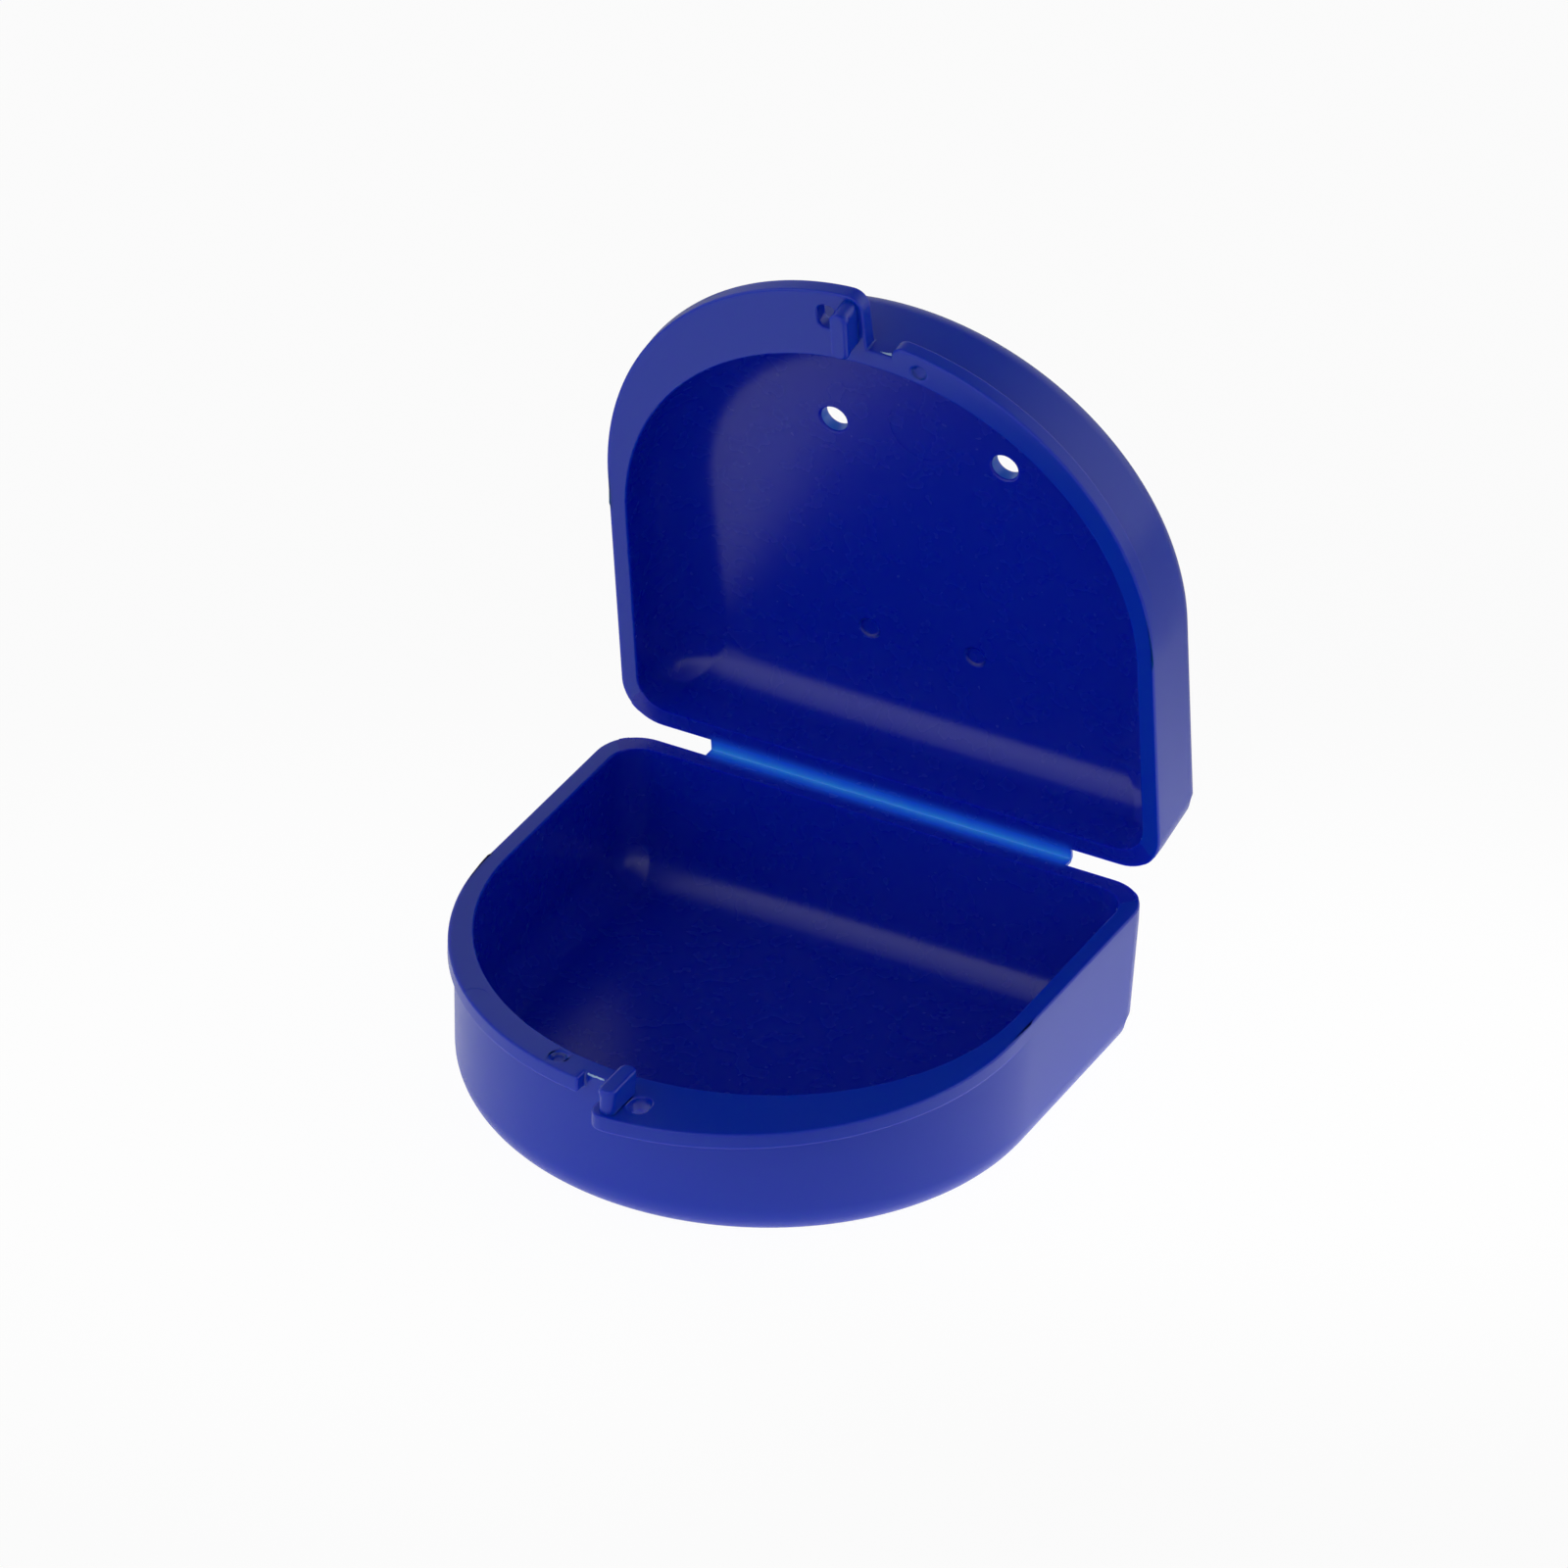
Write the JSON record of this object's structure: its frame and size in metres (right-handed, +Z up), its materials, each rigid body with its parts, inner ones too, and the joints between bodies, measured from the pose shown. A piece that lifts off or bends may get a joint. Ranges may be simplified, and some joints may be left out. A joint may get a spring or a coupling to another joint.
{
  "type": "retainer case",
  "caption": "D-shaped hinged case for a dental retainer: deep base, shallow vented lid, living hinge, and a front rim latch with prongs and notches.",
  "frame": {"origin": "middle of the base's underside, under the centre of its overall width and depth at the seam", "axes": "+Z up, X along the hinge with +X on the side of the base's wide rim, -Y to the front where the latch is"},
  "size_m": [0.0746, 0.0905, 0.0987],
  "materials": {
    "moulding": "glossy deep blue translucent polypropylene",
    "web": "thin flexed polypropylene, lighter where light comes through"
  },
  "bodies": {
    "base": {"base_shell": "moulding", "base_rim_wide": "moulding", "base_rim_narrow": "moulding", "base_prong": "moulding", "hinge_web": "web"},
    "lid": {"lid_shell": "moulding", "lid_rim_wide": "moulding", "lid_rim_narrow": "moulding", "lid_prong": "moulding"}
  },
  "joints": [
    {"name": "lid_hinge", "type": "hinge", "parent": "base", "child": "lid", "pos_m": [0, 0.04029, 0.0203], "axis": [-1, 0, 0], "range_deg": [-80.65, 99.35], "deforming": ["hinge_web"]}
  ]
}
